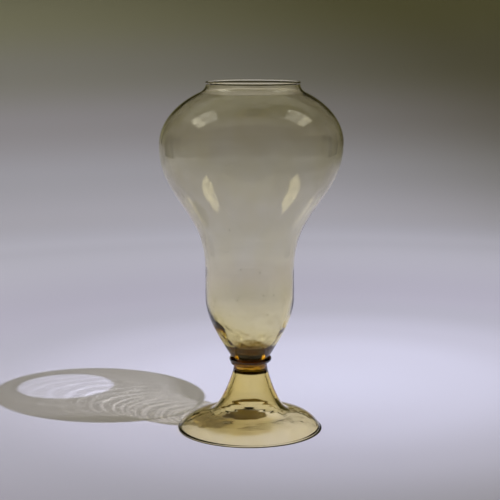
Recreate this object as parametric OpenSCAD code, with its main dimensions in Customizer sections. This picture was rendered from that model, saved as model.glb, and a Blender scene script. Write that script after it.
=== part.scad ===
// Footed blown-glass vase. A bowl with a bulb and a long waist stands on a hollow
// trumpet foot. A solid button of glass joins the two, and a glass thread is wound
// round the joint. All the pieces are round about the Z axis.
// Millimetres, +Z up. The origin is the centre of the ring that the foot rests on.

/* [Overall] */
// Height of the lip above the resting surface
total_h = 300; // [295:1:320]
// Outer radius of the glass where the bowl, the button and the foot meet
core_r = 14.6; // [12:0.1:15]

/* [Bowl] */
// Outer radius of the bulb at its widest
belly_r = 78; // [70:0.5:84]
// Height of the widest part of the bulb
belly_z = 247.3; // [240:0.1:249]
// Outer radius of the narrowest part of the waist
waist_r = 37.95; // [32:0.05:40]
// Height of the narrowest part of the waist
waist_z = 141; // [132:1:150]
// Outer radius of the slight swelling below the waist
swell_r = 38.15; // [34:0.05:42]
// Height of that swelling
swell_z = 115; // [105:1:125]
// Height of the half ellipse that makes the shoulder
shoulder_h = 53; // [50:0.5:54]
// Outer radius of the upright collar
collar_r = 39.65; // [36:0.05:41]
// Outer radius where the shoulder turns up into the collar
crease_r = 44.3; // [43:0.1:46]

/* [Bowl glass] */
// Thickness of the collar
wall_collar = 1.6; // [1.2:0.1:1.9]
// Thickness of the rounded bead along the lip
lip_d = 2; // [2:0.1:2.6]
// Thickness at the widest part of the bulb
wall_belly = 1.2; // [0.9:0.1:2.5]
// Thickness at the waist
wall_waist = 1; // [0.8:0.1:2.5]
// Thickness at the swelling
wall_swell = 1.8; // [1.2:0.1:3]
// Thickness low in the bowl, just above its rounded floor
wall_low = 3.6; // [3:0.1:4.2]
// Height of the bowl's inner floor
floor_z = 69.6; // [67:0.1:74]

/* [Foot] */
// Outer radius of the foot
foot_r = 62; // [56:0.5:70]
// Height of the foot's top, where the button sits
foot_top_z = 54; // [52:0.5:56]
// Radius at which the trumpet turns into the dish
shelf_r = 36.1; // [32:0.1:40]
// Height at which the trumpet turns into the dish
shelf_z = 14.6; // [12:0.1:18]
// Thickness of the foot's glass near its top
foot_wall_top = 3.4; // [2.5:0.1:4]
// Thickness of the foot's glass where the trumpet widens
foot_wall_flare = 3.9; // [3:0.1:4.5]
// Thickness of the foot's glass near its edge
foot_wall_edge = 2.2; // [1.8:0.1:2.6]
// Height of the top of the hollow inside the foot
hollow_z = 50.2; // [46:0.1:51]
// Width of the worn ring that the foot rests on
rest_w = 1.2; // [0.6:0.1:2]

/* [Thread] */
// Thickness of the glass thread
thread_d = 5.2; // [4:0.1:6]
// Outer radius of the wound thread
thread_r = 18.2; // [17:0.1:19]
// Thickness of the thread's tail, which runs on below the first turn
tail_d = 3; // [2:0.1:3.5]
// Angle that the tail covers before it was cut off
tail_angle = 150; // [90:5:200]

/* [Hidden] */

$fn = 96;

// Number of straight steps in one curve of an outline
curve_steps = 18;

// The joint: the bowl's foot, the button and the thread.
bowl_base_z = 60;            // the flat on which the bowl meets the button
bowl_spring = [16.3, 63.3];  // where the bowl's outside leaves the thread
thread_z = 61.5;             // the height of the thread's middle
tail_z = 58.2;               // the height of the tail's middle
tail_end_angle = -78;        // where the tail was cut off, just right of the front
thread_sink = 0.5;           // how far the soft tail is pressed into the joint
button_waist = 0.3;

// The bowl's outline: how far each curve runs straight on at its two ends.
rise_angle = 58;             // slope of the bowl where it leaves the thread
rise_run = [20.7, 16];
flare_run = [51, 45];
neck_run = [2.6, 3.4];
shoulder_end = acos(crease_r / belly_r);
lip_turn = -40;              // where the collar's outside meets the lip's bead
cavity_step = 4;             // the rise's step at which the even wall begins
cavity_run = [15, 3.5];

// The foot's outline.
shelf_slope = 9;             // fall of the outline where trumpet and dish meet
trumpet_run = [3.6, 11];
dish_run = [19.3, 6.5];
edge_r = foot_wall_edge / 2; // the foot's edge is round
edge_turn = 45;              // where the dish's upper side meets the round edge
flare_r = 24;                // radius of the trumpet's outside where its wall is thickest
hollow_run = [10.4, 1.2];
hollow_join = 3;             // the trumpet's step at which its even wall begins

// A cubic curve from p0 to p3 that leaves along p0-p1 and arrives along p2-p3.
function bezier(p0, p1, p2, p3) =
    [for (i = [0 : curve_steps])
        let (t = i / curve_steps, u = 1 - t)
        u * u * u * p0 + 3 * u * u * t * p1 + 3 * u * t * t * p2 + t * t * t * p3];

function polar(radius, angle) = radius * [cos(angle), sin(angle)];

function arc(centre, radius, from, to) =
    [for (i = [0 : curve_steps]) centre + polar(radius, from + (to - from) * i / curve_steps)];

function tail_of(points, first) = [for (i = [first : len(points) - 1]) points[i]];
function reversed(points) = [for (i = [len(points) - 1 : -1 : 0]) points[i]];
function unit(v) = v / norm(v);

// The unit vector along a curve at one of its points.
function along(points, i) =
    unit(points[min(i + 1, len(points) - 1)] - points[max(i - 1, 0)]);

// A curve moved to its left by walls[i] at each point.
function moved_left(points, walls) =
    [for (i = [0 : len(points) - 1])
        let (d = along(points, i))
        points[i] + walls[i] * [-d[1], d[0]]];

// The bowl's outside, in four stretches from the thread up to the lip.
rise = bezier(bowl_spring, bowl_spring + polar(rise_run[0], rise_angle),
              [swell_r, swell_z - rise_run[1]], [swell_r, swell_z]);
waist_half = (waist_z - swell_z) / 2;
waist = bezier([swell_r, swell_z], [swell_r, swell_z + waist_half],
               [waist_r, waist_z - waist_half], [waist_r, waist_z]);
flare = bezier([waist_r, waist_z], [waist_r, waist_z + flare_run[0]],
               [belly_r, belly_z - flare_run[1]], [belly_r, belly_z]);
shoulder = [for (i = [0 : curve_steps])
    let (a = shoulder_end * i / curve_steps)
    [belly_r * cos(a), belly_z + shoulder_h * sin(a)]];
shoulder_top = shoulder[curve_steps];
shoulder_dir = along(shoulder, curve_steps);
collar_top_z = total_h - lip_d;
collar = bezier(shoulder_top, shoulder_top + neck_run[0] * shoulder_dir,
                [collar_r, collar_top_z - neck_run[1]], [collar_r, collar_top_z]);
lip = arc([collar_r - wall_collar + lip_d / 2, total_h - lip_d / 2], lip_d / 2, lip_turn, 180);

bowl_side = concat(rise, tail_of(waist, 1), tail_of(flare, 1),
                   tail_of(shoulder, 1), tail_of(collar, 1));

// Thickness of the bowl's glass at a height.
function bowl_wall(z) =
    lookup(z, [[rise[cavity_step][1], wall_low], [swell_z, wall_swell], [waist_z, wall_waist],
               [belly_z, wall_belly], [collar_top_z, wall_collar]]);

bowl_lined = tail_of(bowl_side, cavity_step);
bowl_inside = moved_left(bowl_lined, [for (p = bowl_lined) bowl_wall(p[1])]);
bowl_floor = bezier([0, floor_z], [cavity_run[0], floor_z],
                    bowl_inside[0] - cavity_run[1] * along(bowl_inside, 0), bowl_inside[0]);

// The foot's outside, from its top out to its round edge.
shelf = [shelf_r, shelf_z];
trumpet = bezier([core_r, foot_top_z], [core_r, foot_top_z - trumpet_run[0]],
                 shelf - polar(trumpet_run[1], -shelf_slope), shelf);
edge_centre = [foot_r - edge_r, edge_r];
edge_top = edge_centre + polar(edge_r, edge_turn);
dish = bezier(shelf, shelf + polar(dish_run[0], -shelf_slope),
              edge_top + polar(dish_run[1], edge_turn + 90), edge_top);
edge = arc(edge_centre, edge_r, edge_turn, -90);

// Thickness of the foot's glass at a radius.
function foot_wall(radius) =
    lookup(radius, [[core_r, foot_wall_top], [flare_r, foot_wall_flare],
                    [shelf_r, foot_wall_edge + 0.4], [foot_r, foot_wall_edge]]);

foot_side = concat(trumpet, tail_of(dish, 1));
foot_under = moved_left(reversed(foot_side), [for (p = reversed(foot_side)) foot_wall(p[0])]);
foot_inside = [for (i = [0 : len(foot_under) - 1 - hollow_join]) foot_under[i]];
hollow_end = foot_inside[len(foot_inside) - 1];
hollow_dir = along(foot_inside, len(foot_inside) - 1);
hollow_top = bezier(hollow_end, hollow_end + hollow_run[1] * hollow_dir,
                    [hollow_run[0], hollow_z], [0, hollow_z]);

// The bowl as a solid lump, as it was before it was blown hollow.
module bowl_body() {
    rotate_extrude()
        polygon(concat([[0, bowl_base_z], [core_r, bowl_base_z]],
                       bowl_side, [[0, collar_top_z]]));
}

module bowl() {
    color([0.80, 0.74, 0.52, 0.45])
        rotate_extrude()
            polygon(concat([[0, bowl_base_z], [core_r, bowl_base_z]],
                           bowl_side, lip, reversed(bowl_inside),
                           tail_of(reversed(bowl_floor), 1)));
}

// The button is solid and very slightly waisted.
module avolio_body() {
    waisted = bezier([core_r, foot_top_z], [core_r - button_waist, foot_top_z + 2],
                     [core_r - button_waist, bowl_base_z - 2], [core_r, bowl_base_z]);
    rotate_extrude()
        polygon(concat([[0, foot_top_z]], waisted, [[0, bowl_base_z]]));
}

module avolio() {
    color([0.55, 0.38, 0.08, 0.8])
        avolio_body();
}

// One full turn of thread, and the tail that runs on below it.
module neck_thread() {
    color([0.45, 0.28, 0.06, 0.85])
        difference() {
            union() {
                rotate_extrude()
                    translate([thread_r - thread_d / 2, thread_z])
                        circle(d = thread_d);
                rotate([0, 0, tail_end_angle - tail_angle])
                    rotate_extrude(angle = tail_angle)
                        translate([core_r + tail_d / 2 - thread_sink, tail_z])
                            circle(d = tail_d);
            }
            bowl_body();
            avolio_body();
        }
}

module foot() {
    color([0.78, 0.70, 0.42, 0.5])
        rotate_extrude()
            polygon(concat([[0, foot_top_z]], foot_side, tail_of(edge, 1),
                           [[foot_r - edge_r - rest_w, 0]],
                           tail_of(foot_inside, 1), tail_of(hollow_top, 1)));
}

bowl();
avolio();
neck_thread();
foot();
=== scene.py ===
import math

import bpy
import numpy as np
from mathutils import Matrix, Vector, noise


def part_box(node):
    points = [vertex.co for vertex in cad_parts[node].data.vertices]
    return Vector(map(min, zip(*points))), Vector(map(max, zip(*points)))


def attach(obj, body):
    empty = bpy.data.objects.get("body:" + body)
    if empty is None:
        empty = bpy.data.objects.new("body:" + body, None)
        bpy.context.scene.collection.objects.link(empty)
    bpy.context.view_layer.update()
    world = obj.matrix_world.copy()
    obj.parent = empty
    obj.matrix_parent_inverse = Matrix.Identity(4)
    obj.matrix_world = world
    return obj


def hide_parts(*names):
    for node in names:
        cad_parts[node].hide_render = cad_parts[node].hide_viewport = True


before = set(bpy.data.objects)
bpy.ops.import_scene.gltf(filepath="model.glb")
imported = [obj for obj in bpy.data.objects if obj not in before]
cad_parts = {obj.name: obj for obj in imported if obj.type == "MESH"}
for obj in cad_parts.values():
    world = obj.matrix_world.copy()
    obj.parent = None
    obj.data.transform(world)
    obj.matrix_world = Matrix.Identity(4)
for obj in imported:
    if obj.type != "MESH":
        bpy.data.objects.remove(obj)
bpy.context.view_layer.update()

MM = 0.001

# The camera stands in front of the vase, at -Y, and looks a little down at it.
CAMERA_BACK = 1.1563
CAMERA_HEIGHT = 0.3456
CAMERA_DOWN = math.radians(9.29)
CAMERA_LENS = 98.5


def link(ob):
    bpy.context.scene.collection.objects.link(ob)
    return ob


def add_camera():
    data = bpy.data.cameras.new("camera")
    data.lens = CAMERA_LENS
    data.sensor_width = 36.0
    camera = link(bpy.data.objects.new("camera", data))
    camera.location = (0.0, -CAMERA_BACK, CAMERA_HEIGHT)
    camera.rotation_euler = (math.pi / 2 - CAMERA_DOWN, 0.0, 0.0)
    bpy.context.scene.camera = camera


add_camera()

# ---------------------------------------------------------------- sizes from the CAD

BOWL_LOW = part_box("bowl")[0][2]
FOOT_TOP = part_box("foot")[1][2]
CORE_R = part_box("avolio")[1][0]
THREAD_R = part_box("neck_thread")[1][0]
THREAD_LOW, THREAD_TOP = (corner[2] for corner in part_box("neck_thread"))

AROUND = 256          # steps round the axis
GAP = 0.02 * MM       # between two fused faces, so that a ray meets them in order

TAIL_END = math.radians(-78)       # where the thread's tail was cut off
TAIL_SWEEP = math.radians(150)     # how far round the tail runs
THREAD_D = 5.2 * MM
THREAD_Z = THREAD_TOP - THREAD_D / 2
THREAD_C = THREAD_R - THREAD_D / 2
TAIL_D = 3.0 * MM
TAIL_SINK = 0.5 * MM               # how far the soft tail is pressed into the neck
TAIL_Z = THREAD_LOW + TAIL_D / 2
TAIL_C = CORE_R + TAIL_D / 2 - TAIL_SINK
THREAD_REACH = 2.38 * MM           # half the height over which the turn stands off the neck
THREAD_HIGH = THREAD_Z + THREAD_REACH
THREAD_TURN_LOW = THREAD_Z - THREAD_REACH
THREAD_TAIL_LOW = THREAD_LOW + 0.06 * MM

# ---------------------------------------------------------------- outlines
# A round piece takes its outline from its CAD node: the section at azimuth 0, which
# the node's mesh holds as a chain of edges.


def outline(node, start):
    """The node's half section as rows of (radius, height), from its end nearest start."""
    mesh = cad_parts[node].data
    key = {}
    for v in mesh.vertices:
        if abs(v.co.y) < 2e-6 and v.co.x > -2e-6:
            key[v.index] = (round(v.co.x * 1e6), round(v.co.z * 1e6))
    near = {}
    for e in mesh.edges:
        a, b = (key.get(i) for i in e.vertices)
        if a is not None and b is not None and a != b:
            near.setdefault(a, set()).add(b)
            near.setdefault(b, set()).add(a)
    ends = [k for k in near if len(near[k]) == 1]
    at = min(ends, key=lambda k: math.hypot(k[0] * 1e-6 - start[0], k[1] * 1e-6 - start[1]))
    chain = [at]
    while True:
        onward = [k for k in near[chain[-1]] if k not in chain[-2:]]
        if not onward:
            break
        chain.append(onward[0])
    return np.array(chain, float) * 1e-6


def resampled(points, spacing):
    """A smooth curve through points, with its rows spacing(radius, height) apart."""
    keep = [points[0]]
    for p in points[1:]:
        if np.hypot(*(p - keep[-1])) > 0.04 * MM:
            keep.append(p)
    p = np.array(keep)
    s = np.concatenate([[0.0], np.cumsum(np.hypot(*(p[1:] - p[:-1]).T))])
    slope = np.empty_like(p)
    slope[1:-1] = (p[2:] - p[:-2]) / (s[2:] - s[:-2])[:, None]
    slope[0] = (p[1] - p[0]) / (s[1] - s[0])
    slope[-1] = (p[-1] - p[-2]) / (s[-1] - s[-2])
    at = [0.0]
    while at[-1] < s[-1]:
        i = min(np.searchsorted(s, at[-1], side="right") - 1, len(p) - 2)
        at.append(at[-1] + spacing(*p[i]))
    at = np.array(at[:-1] + [s[-1]])
    i = np.clip(np.searchsorted(s, at, side="right") - 1, 0, len(p) - 2)
    h = (s[i + 1] - s[i])[:, None]
    t = (at - s[i])[:, None] / h
    rows = ((2 * t ** 3 - 3 * t ** 2 + 1) * p[i] + (t ** 3 - 2 * t ** 2 + t) * h * slope[i]
            + (3 * t ** 2 - 2 * t ** 3) * p[i + 1] + (t ** 3 - t ** 2) * h * slope[i + 1])
    rows[:, 0] = np.maximum(rows[:, 0], 0.0)
    return rows


# ------------------------------------------------------- hand-made unevenness

DRIFT_HEIGHTS = np.array([0.0, 20.0, 45.0, 62.0, 85.0, 140.0, 200.0, 247.0, 285.0, 300.0]) * MM
DRIFT_X = np.array([-0.9, -0.3, 0.4, 0.4, 0.0, -0.3, 0.1, 1.0, 2.0, 2.7]) * MM
fine_z = np.linspace(-5 * MM, 305 * MM, 311)
smooth_x = np.convolve(np.pad(np.interp(fine_z, DRIFT_HEIGHTS, DRIFT_X), 12, mode="edge"),
                       np.ones(25) / 25, mode="valid")


def drift(z):
    """How far the blown axis leans to the right at a height."""
    return np.interp(z, fine_z, smooth_x)


def step(low, high, x):
    """0 below low, 1 above high and smooth between."""
    t = np.clip((x - low) / (high - low), 0.0, 1.0)
    return t * t * (3 - 2 * t)


def lumps(points, size, seed):
    """Smooth noise between about -1 and 1 at each point, in lumps of one size."""
    out = np.empty(len(points))
    move = Vector((17.3 * seed, -5.1 * seed, 3.7 * seed))
    for i, p in enumerate(points):
        out[i] = noise.fractal(Vector(p) / size + move, 1.0, 2.0, 2)
    return out


# ---------------------------------------------------------------- meshes


def lathe(rows, bend):
    """Points and faces of a round closed skin. bend moves the points row by row."""
    a = np.linspace(0.0, 2 * math.pi, AROUND, endpoint=False)
    last = len(rows) - 1
    points = []
    first = []
    count = 0
    for i, (r, z) in enumerate(rows):
        first.append(count)
        if i in (0, last) and r < 1e-7:
            points.append(np.array([[0.0, 0.0, z]]))
        else:
            points.append(np.stack([r * np.cos(a), r * np.sin(a), np.full(AROUND, z)], 1))
        count += len(points[-1])
    sizes = [len(p) for p in points]
    k = np.arange(AROUND)
    k2 = (k + 1) % AROUND
    faces = []
    for i in range(last):
        p, q = first[i], first[i + 1]
        if sizes[i] == 1:
            faces += [(p, q + x, q + y) for x, y in zip(k, k2)]
        elif sizes[i + 1] == 1:
            faces += [(p + x, q, p + y) for x, y in zip(k, k2)]
        else:
            faces += [(p + x, q + x, q + y, p + y) for x, y in zip(k, k2)]
    row = np.repeat(np.arange(len(rows)), sizes)
    return bend(np.concatenate(points), row), faces


def volume_of(co, faces):
    """The volume inside a closed skin, below 0 where its faces look inwards."""
    total = 0.0
    for n in (3, 4):
        f = np.array([x for x in faces if len(x) == n], int)
        if len(f) == 0:
            continue
        for j in range(1, n - 1):
            total += np.einsum("ij,ij->i", co[f[:, 0]], np.cross(co[f[:, j]], co[f[:, j + 1]])).sum()
    return total / 6


def make_mesh(name, parts, fused):
    """One smooth mesh from (points, faces, is_hollow) parts. fused(x, y, z) marks joint faces."""
    co = np.zeros((0, 3))
    faces = []
    for points, part_faces, is_hollow in parts:
        inside_out = volume_of(points - points.mean(0), part_faces) < 0
        if inside_out != is_hollow:
            part_faces = [f[::-1] for f in part_faces]
        faces += [tuple(int(i) + len(co) for i in f) for f in part_faces]
        co = np.concatenate([co, points])
    mesh = bpy.data.meshes.new(name)
    mesh.from_pydata(co.tolist(), [], faces)
    mesh.shade_smooth()
    middle = np.array([co[list(f)].mean(0) for f in faces])
    marks = fused(middle[:, 0], middle[:, 1], middle[:, 2]).astype(np.float32)
    mesh.attributes.new("fused", "FLOAT", "FACE").data.foreach_set("value", marks)
    return mesh


def disc(z, radius):
    """The flat inner part of a joint, from the axis outwards."""
    return np.array([[0.0, z], [radius / 3, z], [radius * 2 / 3, z], [radius * 0.97, z]])


# ---------------------------------------------------------------- glass

# Absorption per metre in red, green and blue
BOWL_ABSORPTION = np.array([36.0, 58.0, 190.0])
NECK_ABSORPTION = np.array([58.0, 90.0, 230.0])
THREAD_ABSORPTION = np.array([34.0, 62.0, 230.0])
FOOT_ABSORPTION = np.array([20.0, 48.0, 190.0])
IOR = 1.5
BOTTOM = (65 * MM, 77 * MM, (0.22, 0.14, 0.04))   # the bowl's thick bottom and its tint


def smooth(nt, value, low, high, at_low=0.0, at_high=1.0):
    """A value graded smoothly from at_low to at_high while it goes from low to high."""
    node = nt.nodes.new("ShaderNodeMapRange")
    node.interpolation_type = "SMOOTHSTEP"
    node.inputs["From Min"].default_value = low
    node.inputs["From Max"].default_value = high
    node.inputs["To Min"].default_value = at_low
    node.inputs["To Max"].default_value = at_high
    nt.links.new(value, node.inputs["Value"])
    return node.outputs[0]


def mixed(nt, factor, a, b):
    """Colour a, going over to b as factor goes from 0 to 1. Each is a colour or a socket."""
    node = nt.nodes.new("ShaderNodeMix")
    node.data_type = "RGBA"
    nt.links.new(factor, node.inputs["Factor"])
    for socket, value in ((node.inputs[6], a), (node.inputs[7], b)):
        if isinstance(value, tuple):
            socket.default_value = (*value, 1.0)
        else:
            nt.links.new(value, socket)
    return node.outputs[2]


def face_tint(nt, place, tint):
    """The tint that the faces carry, a little deeper and paler in soft drawn-out cords."""
    stretch = nt.nodes.new("ShaderNodeMapping")
    stretch.inputs["Scale"].default_value = (1.0, 1.0, 0.45)
    nt.links.new(place, stretch.inputs["Vector"])
    cords = nt.nodes.new("ShaderNodeTexNoise")
    cords.inputs["Scale"].default_value = 45.0
    cords.inputs["Detail"].default_value = 2.0
    nt.links.new(stretch.outputs[0], cords.inputs["Vector"])
    ramp = nt.nodes.new("ShaderNodeValToRGB")
    for stop, position, power in zip(ramp.color_ramp.elements, (0.3, 0.7), (1.5, 0.5)):
        stop.position = position
        stop.color = (*(tint ** power), 1.0)
    nt.links.new(cords.outputs["Fac"], ramp.inputs["Fac"])
    return ramp.outputs["Color"]


def deepened(nt, place, colour, low, high, tint):
    """The colour times tint below the height low, and unchanged above high."""
    heights = nt.nodes.new("ShaderNodeSeparateXYZ")
    nt.links.new(place, heights.inputs[0])
    deeper = nt.nodes.new("ShaderNodeMix")
    deeper.data_type = "RGBA"
    deeper.blend_type = "MULTIPLY"
    deeper.inputs[7].default_value = (*tint, 1.0)
    nt.links.new(smooth(nt, heights.outputs["Z"], low, high, 1.0, 0.0), deeper.inputs["Factor"])
    nt.links.new(colour, deeper.inputs[6])
    return deeper.outputs[2]


def depth_tint(nt, absorption):
    """Absorption inside the glass, per metre in red, green and blue."""
    depth = nt.nodes.new("ShaderNodeVolumeAbsorption")
    density = absorption.max() / 0.98
    depth.inputs["Density"].default_value = density
    depth.inputs["Color"].default_value = (*(1.0 - absorption / density), 1.0)
    return depth.outputs[0]


def make_glass(name, absorption, share, wall, bottom=None):
    """Straw glass. A share of its tint lies on the faces, as of a wall, and the rest in its
    depth. Where two pieces are fused, their faces don't bend light."""
    mat = bpy.data.materials.new(name)
    mat.use_nodes = True
    nt = mat.node_tree
    nt.nodes.clear()
    out = nt.nodes.new("ShaderNodeOutputMaterial")
    glass = nt.nodes.new("ShaderNodeBsdfPrincipled")
    glass.inputs["Roughness"].default_value = 0.0
    glass.inputs["Transmission Weight"].default_value = 1.0
    nt.links.new(glass.outputs[0], out.inputs["Surface"])
    fused = nt.nodes.new("ShaderNodeAttribute")
    fused.attribute_name = "fused"
    ior = nt.nodes.new("ShaderNodeMath")
    ior.operation = "MULTIPLY_ADD"
    ior.inputs[1].default_value = 1.0 - IOR
    ior.inputs[2].default_value = IOR
    nt.links.new(fused.outputs["Fac"], ior.inputs[0])
    nt.links.new(ior.outputs[0], glass.inputs["IOR"])
    place = nt.nodes.new("ShaderNodeTexCoord").outputs["Object"]
    colour = face_tint(nt, place, np.exp(-absorption * share * wall))
    if bottom:
        colour = deepened(nt, place, colour, *bottom)
    nt.links.new(colour, glass.inputs["Base Color"])
    nt.links.new(depth_tint(nt, absorption * (1.0 - share)), out.inputs["Volume"])
    return mat


# ---------------------------------------------------------------- pieces

def add_piece(mesh, name, node, mat):
    """A piece that stands for a CAD node."""
    ob = link(bpy.data.objects.new(name, mesh))
    mesh.materials.append(mat)
    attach(ob, "root")
    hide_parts(node)
    return ob


def tail_here(angle):
    """How much of the tail there is at an angle, 0 to 1. Its end is cut off square."""
    back = (TAIL_END - angle) % (2 * math.pi)
    full = (back < TAIL_SWEEP).astype(float)
    fade = 1.0 - step(TAIL_SWEEP * 0.72, TAIL_SWEEP, back)
    return full * fade * step(0.0, 0.05, back)


def thread_low(angle):
    """The thread's lower edge round the neck: the tail runs below the turn for part of it."""
    there = tail_here(angle)
    return THREAD_TAIL_LOW * there + THREAD_TURN_LOW * (1 - there)


def under_thread(x, y, z):
    """Whether a place lies on the neck's side where the thread covers it."""
    covered = (z > thread_low(np.arctan2(y, x))) & (z < THREAD_HIGH)
    return covered & (np.hypot(x, y) > CORE_R - 1.0 * MM)


def make_bowl():
    """The blown bubble. Its outside is the CAD's, and the inside is uneven as in hot glass."""
    line = outline("bowl", (CORE_R, BOWL_LOW))

    def spacing(r, z):
        if z > 296.5 * MM:
            return 0.2 * MM
        if z > 284 * MM or z < 68 * MM:
            return 0.6 * MM
        if z < 100 * MM:
            return 1.0 * MM
        return 2.6 * MM

    rows = np.concatenate([disc(BOWL_LOW, CORE_R), resampled(line, spacing)])
    lip_row = int(np.argmax(rows[:, 1]))

    def bend(co, row):
        inner = (row > lip_row).astype(float)
        z = co[:, 2].copy()
        r = np.hypot(co[:, 0], co[:, 1])
        low = inner * step(0.5, 6.0, r / MM) * (1.0 - step(86 * MM, 112 * MM, z))
        wave = np.zeros(len(co))
        some = low > 0
        wave[some] = lumps(co[some], 13 * MM, 1) * 0.45 * MM
        wave[some] += lumps(co[some], 4.5 * MM, 5) * 0.16 * MM
        side = co[:, 0] / np.maximum(r, 1e-6)
        wave += (-0.5 + 0.9 * side) * MM * low
        walls = inner * step(95 * MM, 120 * MM, z)
        some = walls > 0
        cords = np.zeros(len(co))
        cords[some] = lumps(co[some], 22 * MM, 2) * 0.10 * MM
        grow = wave * low + cords * walls
        scale = 1.0 + grow / np.maximum(r, 2 * MM)
        co[:, 0] *= scale
        co[:, 1] *= scale
        bottom = inner * (1.0 - step(10 * MM, 16 * MM, r)) * (z < 75 * MM)
        co[:, 2] += bottom * np.array([noise.noise(Vector(p) / (6 * MM)) for p in co]) * 0.25 * MM
        out = step(100 * MM, 140 * MM, z)
        angle = np.arctan2(co[:, 1], co[:, 0])
        oval = 1.0 + out * 0.0035 * np.cos(2 * angle - 0.7)
        co[:, 0] *= oval
        co[:, 1] *= oval
        co[:, 0] += drift(z)
        return co

    def fused(x, y, z):
        return (z < BOWL_LOW + 1e-6) | under_thread(x, y, z)

    parts = [(*lathe(rows, bend), False)] + seeds()
    mesh = make_mesh("bowl_glass", parts, fused)
    glass = make_glass("bowl_glass", BOWL_ABSORPTION, 0.4, 1.2 * MM, BOTTOM)
    return add_piece(mesh, "bowl_glass", "bowl", glass)


SEEDS_LOW = 28         # bubbles in the waist and the lower bulb
SEEDS_HIGH = 6         # bubbles in the bulb
SEED_ROWS = 6          # rows of faces in a bubble
SEED_SIDES = 10        # faces round it


def bubble(middle, size, long):
    """Points and faces of a small upright egg at radius middle."""
    points = []
    faces = []
    for i in range(SEED_ROWS + 1):
        b = math.pi * i / SEED_ROWS
        for j in range(SEED_SIDES):
            c = 2 * math.pi * j / SEED_SIDES
            n = size * math.sin(b) * math.cos(c)
            t = size * math.sin(b) * math.sin(c)
            points.append((middle + n, t, long * math.cos(b)))
    for i in range(SEED_ROWS):
        for j in range(SEED_SIDES):
            p = i * SEED_SIDES + j
            q = i * SEED_SIDES + (j + 1) % SEED_SIDES
            faces.append((p, q, q + SEED_SIDES, p + SEED_SIDES))
    return np.array(points), faces


def seeds():
    """Small air bubbles in the bowl's wall, a little drawn out along it."""
    line = outline("bowl", (CORE_R, BOWL_LOW))
    top = int(np.argmax(line[:, 1]))
    outer = line[:top]
    inner = line[top:][::-1]
    order = np.argsort(inner[:, 1], kind="stable")
    dice = np.random.default_rng(11)
    made = []
    for k in range(SEEDS_LOW + SEEDS_HIGH):
        if k < SEEDS_LOW:
            z = (78 + 125 * dice.beta(1.7, 2.2)) * MM
        else:
            z = dice.uniform(205, 262) * MM
        angle = dice.uniform(0, 2 * math.pi)
        ro = np.interp(z, outer[:, 1], outer[:, 0])
        ri = np.interp(z, inner[order, 1], inner[order, 0])
        room = (ro - ri) * 0.32
        size = min(dice.uniform(0.22, 0.42) * MM, room)
        long = size * dice.uniform(1.0, 2.0)
        middle = (ro + ri) / 2
        p, faces = bubble(middle, size, long)
        co = np.stack([p[:, 0] * math.cos(angle) - p[:, 1] * math.sin(angle) + drift(z),
                       p[:, 0] * math.sin(angle) + p[:, 1] * math.cos(angle),
                       p[:, 2] + z], 1)
        made.append((co, faces, True))
    return made


def make_button():
    """The solid lump between the bowl and the foot."""
    line = outline("avolio", (CORE_R, FOOT_TOP))
    rows = resampled(line, lambda r, z: 0.3 * MM)
    rows[0][1] += GAP
    rows[-1][1] -= GAP
    rows = np.concatenate([disc(FOOT_TOP + GAP, CORE_R), rows, disc(BOWL_LOW - GAP, CORE_R)[::-1]])

    def bend(co, row):
        wide = step(0.7, 1.0, np.hypot(co[:, 0], co[:, 1]) / CORE_R)
        ends = step(0, 2 * MM, co[:, 2] - FOOT_TOP) * step(0, 3 * MM, BOWL_LOW - co[:, 2])
        scale = 1.0 + lumps(co, 9 * MM, 3) * 0.02 * wide * ends
        co[:, 0] *= scale
        co[:, 1] *= scale
        co[:, 0] += drift(co[:, 2])
        return co

    def fused(x, y, z):
        return (z < FOOT_TOP + 2 * GAP) | (z > BOWL_LOW - 2 * GAP) | under_thread(x, y, z)

    mesh = make_mesh("avolio_glass", [(*lathe(rows, bend), False)], fused)
    glass = make_glass("neck_glass", NECK_ABSORPTION, 0.1, 6.0 * MM)
    return add_piece(mesh, "avolio_glass", "avolio", glass)


def round_section(z, middle_z, middle_r, radius):
    """The outer radius at each height of a thread with a round section, 0 where it has none."""
    out = middle_r + np.sqrt(np.maximum(radius ** 2 - (z - middle_z) ** 2, 0.0))
    return np.where(np.abs(z - middle_z) < radius, out, 0.0)


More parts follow.
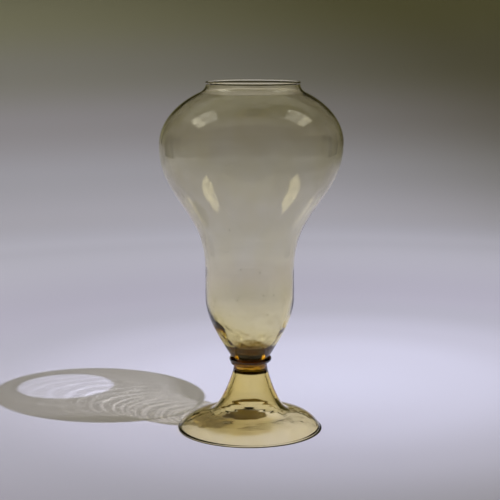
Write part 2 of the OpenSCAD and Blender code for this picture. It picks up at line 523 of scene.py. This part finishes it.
def make_thread():
    """The wound thread: a skin that rises from the core between the thread's two edges."""
    button_side = outline("avolio", (CORE_R, FOOT_TOP))
    bowl_side = outline("bowl", (CORE_R, BOWL_LOW))[:40]
    core = np.concatenate([button_side, bowl_side])
    core = core[np.argsort(core[:, 1], kind="stable")]
    n = 44                        # steps across the skin, and as many across its bed
    angles = np.linspace(0, 2 * math.pi, AROUND * 2, endpoint=False)
    points = []
    for a in angles:
        there = float(tail_here(np.array([a]))[0])
        low = float(thread_low(np.array([a]))[0])
        wobble = 0.12 * MM * math.sin(2 * a + 0.6) + 0.07 * MM * math.sin(5 * a)
        t = np.linspace(0, 1, n)
        z = low + (THREAD_HIGH - low) * (0.5 - 0.5 * np.cos(math.pi * t))
        rc = np.interp(z, core[:, 1], core[:, 0])
        turn = round_section(z, THREAD_Z, THREAD_C + wobble, THREAD_D / 2)
        tail = round_section(z, TAIL_Z, TAIL_C, TAIL_D / 2) * (there > 0.02)
        tail = rc + (np.maximum(tail, rc) - rc) * there
        skin = np.maximum(np.maximum(turn, tail), rc + 3 * GAP)
        bed = rc + GAP
        skin[0] = bed[0] + 2 * GAP
        skin[-1] = bed[-1] + 2 * GAP
        loop = list(zip(skin, z)) + list(zip(bed[::-1], z[::-1]))
        points.append([(r * math.cos(a) + drift(h), r * math.sin(a), h) for r, h in loop])
    co = np.array(points).reshape(-1, 3)
    m = 2 * n
    count = len(angles)
    faces = []
    for i in range(count):
        j = (i + 1) % count
        for k in range(m):
            k2 = (k + 1) % m
            faces.append((i * m + k, j * m + k, j * m + k2, i * m + k2))

    def fused(x, y, z):
        r = np.hypot(x - drift(z), y)
        return r < np.interp(z, core[:, 1], core[:, 0]) + 2.2 * GAP

    mesh = make_mesh("neck_thread_glass", [(co, faces, False)], fused)
    thread_glass = make_glass("thread_glass", THREAD_ABSORPTION, 0.1, 4.0 * MM)
    return add_piece(mesh, "neck_thread_glass", "neck_thread", thread_glass)


def make_foot():
    """The hollow trumpet and dish, with fine tooling rings on the dish's upper side."""
    line = outline("foot", (CORE_R, FOOT_TOP))

    def spacing(r, z):
        if z < 3.0 * MM:
            return 0.25 * MM
        if r > 34 * MM:
            return 0.33 * MM
        return 0.6 * MM

    rows = np.concatenate([disc(FOOT_TOP, CORE_R), resampled(line, spacing)])
    edge_row = int(np.argmax(rows[:, 0]))

    def bend(co, row):
        r = np.hypot(co[:, 0], co[:, 1])
        angle = np.arctan2(co[:, 1], co[:, 0])
        upper = (row < edge_row).astype(float)
        zone = step(30 * MM, 36 * MM, r) * (1 - step(59 * MM, 61 * MM, r))
        patch = 0.55 + 0.45 * np.sin(3 * angle + r / (9 * MM))
        rings = np.sin(2 * math.pi * (r + 0.8 * MM * np.sin(angle + 0.5)) / (1.75 * MM))
        rings *= 0.6 + 0.4 * np.sin(r / (2.7 * MM) + 2 * angle)
        co[:, 2] += 0.035 * MM * rings * zone * patch * upper
        under = (row > edge_row + 12) & (r > 1.0 * MM)
        wave = np.zeros(len(co))
        wave[under] = lumps(co[under], 12 * MM, 4) * 0.22 * MM
        co[:, 2] += wave * step(8 * MM, 20 * MM, r) * (1 - step(56 * MM, 60 * MM, r))
        rock = step(20 * MM, 60 * MM, r)
        co[:, 2] += 0.35 * MM * rock * np.cos(angle - 0.3) * step(0.5 * MM, 4 * MM, co[:, 2])
        co[:, 0] += drift(co[:, 2])
        return co

    def fused(x, y, z):
        return z > FOOT_TOP - 1e-6

    mesh = make_mesh("foot_glass", [(*lathe(rows, bend), False)], fused)
    glass = make_glass("foot_glass", FOOT_ABSORPTION, 0.3, 3.0 * MM)
    return add_piece(mesh, "foot_glass", "foot", glass)


bowl = make_bowl()
button = make_button()
thread = make_thread()
foot = make_foot()

# ---------------------------------------------------------------- the glass's own shadow
# A lamp's light goes through glass and is only dimmed and gathered. Stand-ins that
# nothing but lamps' rays can see carry that, so the glass itself stays plain.

KEY_SIDE = (0.80, -0.60, 0.0)      # the key lamp's side of the vase
SIDE_BLEND = 8 * MM                # how far the two sides run into each other
SHOULDER = (255 * MM, 268 * MM)    # above this the whole wall counts as the lamp's side
TRUMPET_FOOT = (13 * MM, 20 * MM)  # above this the foot's trumpet begins
GLANCING = (0.70, 1.0)             # Layer Weight's Facing, from square on to glancing light


def make_shadow_tint(name, near, far, edge, lines, trumpet=None):
    """What the glass lets through of a lamp's light: near and far are a face's share of it
    on the key lamp's side and on the other, edge is for glancing light, and lines is a
    node setup that brightens it where the glass gathers it."""
    mat = bpy.data.materials.new(name)
    mat.use_nodes = True
    nt = mat.node_tree
    nt.nodes.clear()
    out = nt.nodes.new("ShaderNodeOutputMaterial")
    see = nt.nodes.new("ShaderNodeBsdfTransparent")
    nt.links.new(see.outputs[0], out.inputs["Surface"])
    place = nt.nodes.new("ShaderNodeTexCoord").outputs["Object"]
    side = nt.nodes.new("ShaderNodeVectorMath")
    side.operation = "DOT_PRODUCT"
    side.inputs[1].default_value = KEY_SIDE
    nt.links.new(place, side.inputs[0])
    heights = nt.nodes.new("ShaderNodeSeparateXYZ")
    nt.links.new(place, heights.inputs[0])
    lit = nt.nodes.new("ShaderNodeMath")
    lit.operation = "MAXIMUM"
    nt.links.new(smooth(nt, side.outputs["Value"], -SIDE_BLEND, SIDE_BLEND), lit.inputs[0])
    nt.links.new(smooth(nt, heights.outputs["Z"], *SHOULDER), lit.inputs[1])
    wall = mixed(nt, lit.outputs[0], far, near)
    if trumpet:
        wall = mixed(nt, smooth(nt, heights.outputs["Z"], *TRUMPET_FOOT), wall, trumpet)
    facing = nt.nodes.new("ShaderNodeLayerWeight")
    facing.inputs["Blend"].default_value = 0.5
    tint = mixed(nt, smooth(nt, facing.outputs["Facing"], *GLANCING), wall, edge)
    gather = nt.nodes.new("ShaderNodeVectorMath")
    gather.operation = "SCALE"
    nt.links.new(tint, gather.inputs[0])
    nt.links.new(lines(nt, place), gather.inputs["Scale"])
    nt.links.new(gather.outputs[0], see.inputs["Color"])
    return mat


def wave_lines(nt, place, wave_type, scale, distortion, detail, detail_scale):
    """Wavy stripes: bands up the height, or rings round the axis."""
    wave = nt.nodes.new("ShaderNodeTexWave")
    wave.wave_type = wave_type
    wave.bands_direction = "Z"
    wave.rings_direction = "Z"
    wave.inputs["Scale"].default_value = scale
    wave.inputs["Distortion"].default_value = distortion
    wave.inputs["Detail"].default_value = detail
    wave.inputs["Detail Scale"].default_value = detail_scale
    nt.links.new(place, wave.inputs["Vector"])
    return wave.outputs["Fac"]


def wall_lines(nt, place):
    """Bright lines that run round the bowl, as its uneven wall gathers light. They are
    strong in the waist and faint in the bulb."""
    line = smooth(nt, wave_lines(nt, place, "BANDS", 28.0, 4.0, 2.0, 0.8), 0.80, 1.0)
    heights = nt.nodes.new("ShaderNodeSeparateXYZ")
    nt.links.new(place, heights.inputs[0])
    strength = smooth(nt, heights.outputs["Z"], 130 * MM, 210 * MM, 1.25, 0.18)
    gain = nt.nodes.new("ShaderNodeMath")
    gain.operation = "MULTIPLY_ADD"
    gain.inputs[2].default_value = 0.92
    nt.links.new(line, gain.inputs[0])
    nt.links.new(strength, gain.inputs[1])
    return gain.outputs[0]


def foot_lines(nt, place):
    """Rings of light from the tooling lines of the foot."""
    rings = wave_lines(nt, place, "RINGS", 130.0, 2.5, 1.0, 0.3)
    return smooth(nt, rings, 0.55, 1.0, 0.93, 1.20)


def add_shadow(source, mat):
    """A copy of a piece's mesh that only lamps' rays meet."""
    mesh = source.data.copy()
    mesh.materials.clear()
    mesh.materials.append(mat)
    ob = link(bpy.data.objects.new("shadow_of_" + source.name, mesh))
    ob.visible_camera = False
    ob.visible_diffuse = False
    ob.visible_glossy = False
    ob.visible_transmission = False
    ob.visible_volume_scatter = False
    return ob


WALL_NEAR, WALL_FAR, WALL_EDGE = (0.58, 0.56, 0.49), (0.97, 0.965, 0.94), (0.42, 0.40, 0.32)
NECK_FACE, NECK_EDGE = (0.80, 0.72, 0.50), (0.50, 0.42, 0.22)
FOOT_FACE, FOOT_EDGE, TRUMPET_FACE = (0.87, 0.85, 0.77), (0.55, 0.48, 0.28), (0.66, 0.60, 0.38)
wall_shadow = make_shadow_tint("wall_shadow", WALL_NEAR, WALL_FAR, WALL_EDGE, wall_lines)
neck_shadow = make_shadow_tint("neck_shadow", NECK_FACE, NECK_FACE, NECK_EDGE, wall_lines)
foot_shadow = make_shadow_tint("foot_shadow", FOOT_FACE, FOOT_FACE, FOOT_EDGE, foot_lines,
                               trumpet=TRUMPET_FACE)
shadows = [add_shadow(bowl, wall_shadow), add_shadow(button, neck_shadow),
           add_shadow(thread, neck_shadow), add_shadow(foot, foot_shadow)]

# ---------------------------------------------------------------- stage

FLAT_R = 1.25          # the floor is flat to here
SWEEP_R = 1.5          # radius of its sweep up into the wall
WALL_TOP = 3.4
AROUND_FLOOR = 144     # steps round the floor

PAINTED_POOL_CENTRE = (0.08, 0.15, 0.0)   # centre of the pool of light painted into the floor's colour
PAINTED_POOL_REACH = 3.0                 # the last stop of the painted grading is this far away
PAINTED_POOL_TONES = [                   # distance from the painted pool's centre, and the colour there with its painted light
    (0.00, (0.745, 0.745, 0.85)),
    (0.14, (0.72, 0.715, 0.81)),
    (0.25, (0.65, 0.64, 0.715)),
    (0.36, (0.58, 0.57, 0.625)),
    (0.45, (0.60, 0.58, 0.645)),
    (0.85, (0.795, 0.785, 0.84)),
    (0.97, (0.88, 0.87, 0.93)),
    (1.25, (0.92, 0.90, 0.94)),
    (1.50, (0.855, 0.84, 0.86)),
    (1.75, (0.715, 0.68, 0.66)),
    (1.95, (0.59, 0.57, 0.46)),
    (2.15, (0.60, 0.585, 0.36)),
    (2.45, (0.24, 0.23, 0.14)),
    (2.75, (0.05, 0.05, 0.03)),
]
PAINTED_CONTACT_SHADE = (57.5 * MM, 59.0 * MM, 62.2 * MM, 62.8 * MM)   # a ring of painted shade under the foot's edge
PAINTED_CONTACT_SHADE_TONE = (0.02, 0.02, 0.01)
PAINTED_NECK_SHADOW = (-0.0045, 0.037, 0.0)                        # a patch of painted shadow under the neck
PAINTED_NECK_SHADOW_R = (18.5 * MM, 22.0 * MM)
PAINTED_NECK_SHADOW_TONE = (0.12, 0.09, 0.03)


def distance_from(nt, place, centre):
    """The distance of each place from a fixed centre."""
    away = nt.nodes.new("ShaderNodeVectorMath")
    away.operation = "DISTANCE"
    away.inputs[1].default_value = centre
    nt.links.new(place, away.inputs[0])
    return away.outputs["Value"]


def multiplied(nt, a, b):
    node = nt.nodes.new("ShaderNodeMath")
    node.operation = "MULTIPLY"
    nt.links.new(a, node.inputs[0])
    nt.links.new(b, node.inputs[1])
    return node.outputs[0]


def floor_material():
    """A matt pale floor, its colour graded with a painted pool of the studio's light that falls off
    away from the bright spot, with painted shade under the foot's edge and a painted shadow under
    the neck.
    """
    mat = bpy.data.materials.new("floor")
    mat.use_nodes = True
    nt = mat.node_tree
    p = nt.nodes["Principled BSDF"]
    p.inputs["Roughness"].default_value = 0.9
    p.inputs["Specular IOR Level"].default_value = 0.1
    place = nt.nodes.new("ShaderNodeTexCoord").outputs["Object"]
    # Painted light: the floor's colour is brightest at the pool's centre and falls off with
    # distance.
    reach = nt.nodes.new("ShaderNodeMapRange")
    reach.inputs["From Max"].default_value = PAINTED_POOL_REACH
    nt.links.new(distance_from(nt, place, PAINTED_POOL_CENTRE), reach.inputs["Value"])
    ramp = nt.nodes.new("ShaderNodeValToRGB")
    ramp.color_ramp.interpolation = "EASE"
    nt.links.new(reach.outputs[0], ramp.inputs["Fac"])
    stops = ramp.color_ramp.elements
    stops.remove(stops[1])
    for k, (far, colour) in enumerate(PAINTED_POOL_TONES):
        stop = stops.new(far / PAINTED_POOL_REACH) if k else stops[0]
        stop.color = (*colour, 1.0)
    radius = distance_from(nt, place, (0.0, 0.0, 0.0))
    # Painted shade: a near-black ring in the floor's colour under the foot's edge.
    contact_shade = multiplied(nt, smooth(nt, radius, PAINTED_CONTACT_SHADE[0], PAINTED_CONTACT_SHADE[1]),
                      smooth(nt, radius, PAINTED_CONTACT_SHADE[2], PAINTED_CONTACT_SHADE[3], 1.0, 0.0))
    shaded = mixed(nt, contact_shade, ramp.outputs["Color"], PAINTED_CONTACT_SHADE_TONE)
    # Painted shadow: a dark patch in the floor's colour under the neck.
    patch = smooth(nt, distance_from(nt, place, PAINTED_NECK_SHADOW), *PAINTED_NECK_SHADOW_R, 1.0, 0.0)
    shaded = mixed(nt, patch, shaded, PAINTED_NECK_SHADOW_TONE)
    nt.links.new(shaded, p.inputs["Base Color"])
    return mat


def add_floor():
    """A round flat floor that sweeps up into a wall all the way round."""
    rows = [(x, 0.0) for x in np.linspace(0.1, FLAT_R, 12)]
    for k in range(1, 41):
        b = math.pi / 2 * k / 40
        rows.append((FLAT_R + SWEEP_R * math.sin(b), SWEEP_R * (1 - math.cos(b))))
    rows.append((FLAT_R + SWEEP_R, WALL_TOP))
    n = AROUND_FLOOR
    verts = [(0.0, 0.0, 0.0)]
    for r, z in rows:
        for i in range(n):
            a = 2 * math.pi * i / n
            verts.append((r * math.cos(a), r * math.sin(a), z))
    faces = [(0, 1 + i, 1 + (i + 1) % n) for i in range(n)]
    for k in range(len(rows) - 1):
        for i in range(n):
            a = 1 + k * n + i
            b = 1 + k * n + (i + 1) % n
            faces.append((a, a + n, b + n, b))
    mesh = bpy.data.meshes.new("floor")
    mesh.from_pydata(verts, [], faces)
    mesh.shade_smooth()
    ob = link(bpy.data.objects.new("floor", mesh))
    mesh.materials.append(floor_material())
    return ob


def black_card():
    """Dull black card."""
    mat = bpy.data.materials.new("black_card")
    mat.use_nodes = True
    p = mat.node_tree.nodes["Principled BSDF"]
    p.inputs["Base Color"].default_value = (0.004, 0.004, 0.003, 1.0)
    p.inputs["Roughness"].default_value = 1.0
    p.inputs["Specular IOR Level"].default_value = 0.0
    return mat


def add_card(name, corners, mat, through=True, glossy=True):
    """A card that only the glass sees: in its reflections where glossy is set, and through it where
    through is set.
    """
    mesh = bpy.data.meshes.new(name)
    mesh.from_pydata(corners, [], [(0, 1, 2, 3)])
    mesh.materials.append(mat)
    ob = link(bpy.data.objects.new(name, mesh))
    ob.visible_camera = False
    ob.visible_diffuse = False
    ob.visible_shadow = False
    ob.visible_transmission = through
    ob.visible_glossy = glossy


def upright(x0, y0, x1, y1, z0, z1):
    """The corners of an upright sheet over the line from (x0, y0) to (x1, y1)."""
    return [(x0, y0, z0), (x1, y1, z0), (x1, y1, z1), (x0, y0, z1)]


def add_light(name, kind, place, aim, energy, size, color):
    """A lamp at place that points at aim. size is a box's two sides or a spot's radius."""
    data = bpy.data.lights.new(name, kind)
    data.energy = energy
    data.color = color
    if kind == "AREA":
        data.shape = "RECTANGLE"
        data.size, data.size_y = size
    else:
        data.shadow_soft_size = size
    ob = link(bpy.data.objects.new(name, data))
    ob.location = place
    ob.rotation_euler = (Vector(aim) - Vector(place)).to_track_quat("-Z", "Y").to_euler()
    return ob


def blocked_by(lamp, obs):
    """Only these pieces throw shadows in this lamp's light."""
    blockers = bpy.data.collections.new("blockers_of_" + lamp.name)
    for ob in obs:
        blockers.objects.link(ob)
    lamp.light_linking.blocker_collection = blockers


KEY_PLACE, KEY_AIM, KEY_COLOUR = (0.779, -0.584, 1.567), (-0.35, 0.80, 0.0), (0.96, 0.97, 1.20)
KEY_POWER, KEY_RADIUS, KEY_CONE = 125.0, 0.010, math.radians(65)
TOP_PLACE, TOP_AIM, TOP_COLOUR = (-0.1, 0.15, 1.15), (-0.1, 0.15, 0.0), (1.0, 0.95, 0.78)
TOP_POWER, TOP_SIZE = 4.0, (2.2, 1.35)
BOX_PLACE, BOX_AIM, BOX_COLOUR = (1.25, -0.15, 0.55), (0, 0, 0.2), (1.0, 0.96, 0.86)
BOX_POWER, BOX_SIZE = 2.25, (0.9, 0.8)
GLINT_PLACE, GLINT_AIM, GLINT_COLOUR = (1.19, 0.15, 1.73), (0, 0, 0.22), (1.0, 0.97, 0.86)
GLINT_POWER, GLINT_SIZE = 4.2, (0.75, 0.75)
WORLD = (0.095, 0.090, 0.030)


def at_side(side, place):
    """A place at the right, or its mirror image at the left where side is -1."""
    return (side * place[0], place[1], place[2])


def add_lights(floor, bowl):
    """A key spot, a large box overhead, a box at each side that lights the floor, and a box
    at each side that only the bowl reflects."""
    key = add_light("key", "SPOT", KEY_PLACE, KEY_AIM, KEY_POWER, KEY_RADIUS, KEY_COLOUR)
    key.data.spot_size = KEY_CONE
    key.data.spot_blend = 1.0
    blocked_by(key, shadows + [floor])
    top = add_light("top_box", "AREA", TOP_PLACE, TOP_AIM, TOP_POWER, TOP_SIZE, TOP_COLOUR)
    top.visible_transmission = False
    blocked_by(top, shadows + [floor])
    for side, name in ((-1, "left_box"), (1, "right_box")):
        box = add_light(name, "AREA", at_side(side, BOX_PLACE), BOX_AIM,
                        BOX_POWER, BOX_SIZE, BOX_COLOUR)
        box.visible_transmission = False
        box.visible_glossy = False
        blocked_by(box, shadows + [floor])
    seen_in = bpy.data.collections.new("lit_by_glints")
    seen_in.objects.link(bowl)
    for side, name in ((-1, "left_glint"), (1, "right_glint")):
        glint = add_light(name, "AREA", at_side(side, GLINT_PLACE), GLINT_AIM,
                          GLINT_POWER, GLINT_SIZE, GLINT_COLOUR)
        glint.visible_diffuse = False
        glint.light_linking.receiver_collection = seen_in
        blocked_by(glint, shadows)


def add_world():
    """A dim warm room."""
    world = bpy.data.worlds.new("world")
    bpy.context.scene.world = world
    world.use_nodes = True
    back = world.node_tree.nodes["Background"]
    back.inputs["Color"].default_value = (*WORLD, 1.0)
    back.inputs["Strength"].default_value = 1.0


FRONT_CARD = (-0.62, -0.52, 0.60, -0.52, 0.0, 1.0)
CARD_X = 1.1                       # the side cards stand this far from the axis
SIDE_CARD = (0.36, 0.99, 0.9)      # from this Y to this Y, and its height
SIDE_STRIP = (1.55, 1.72, 2.2)
CEILING = (0.5, 2.6, 0.8)          # half its width, half its length and its height


def add_cards():
    """The dark things of a studio that shape what the glass shows."""
    card = black_card()
    add_card("front_card", upright(*FRONT_CARD), card, through=False)
    for x, side in ((-CARD_X, "left"), (CARD_X, "right")):
        for part, (y0, y1, high) in (("_card", SIDE_CARD), ("_strip", SIDE_STRIP)):
            add_card(side + part, upright(x, y0, x, y1, 0.0, high), card)
    x, y, z = CEILING
    above = [(-x, -y, z), (x, -y, z), (x, y, z), (-x, y, z)]
    add_card("dark_above", above, card, glossy=False)


floor = add_floor()
add_cards()
add_lights(floor, bowl)
add_world()

scene = bpy.context.scene
scene.view_settings.view_transform = "Standard"
scene.cycles.use_denoising = True
# Many bounces, so that light gets through all the faces of the glass
scene.cycles.max_bounces = 24
scene.cycles.transmission_bounces = 24
scene.cycles.glossy_bounces = 12
scene.cycles.transparent_max_bounces = 32
scene.cycles.caustics_reflective = False
scene.cycles.caustics_refractive = True
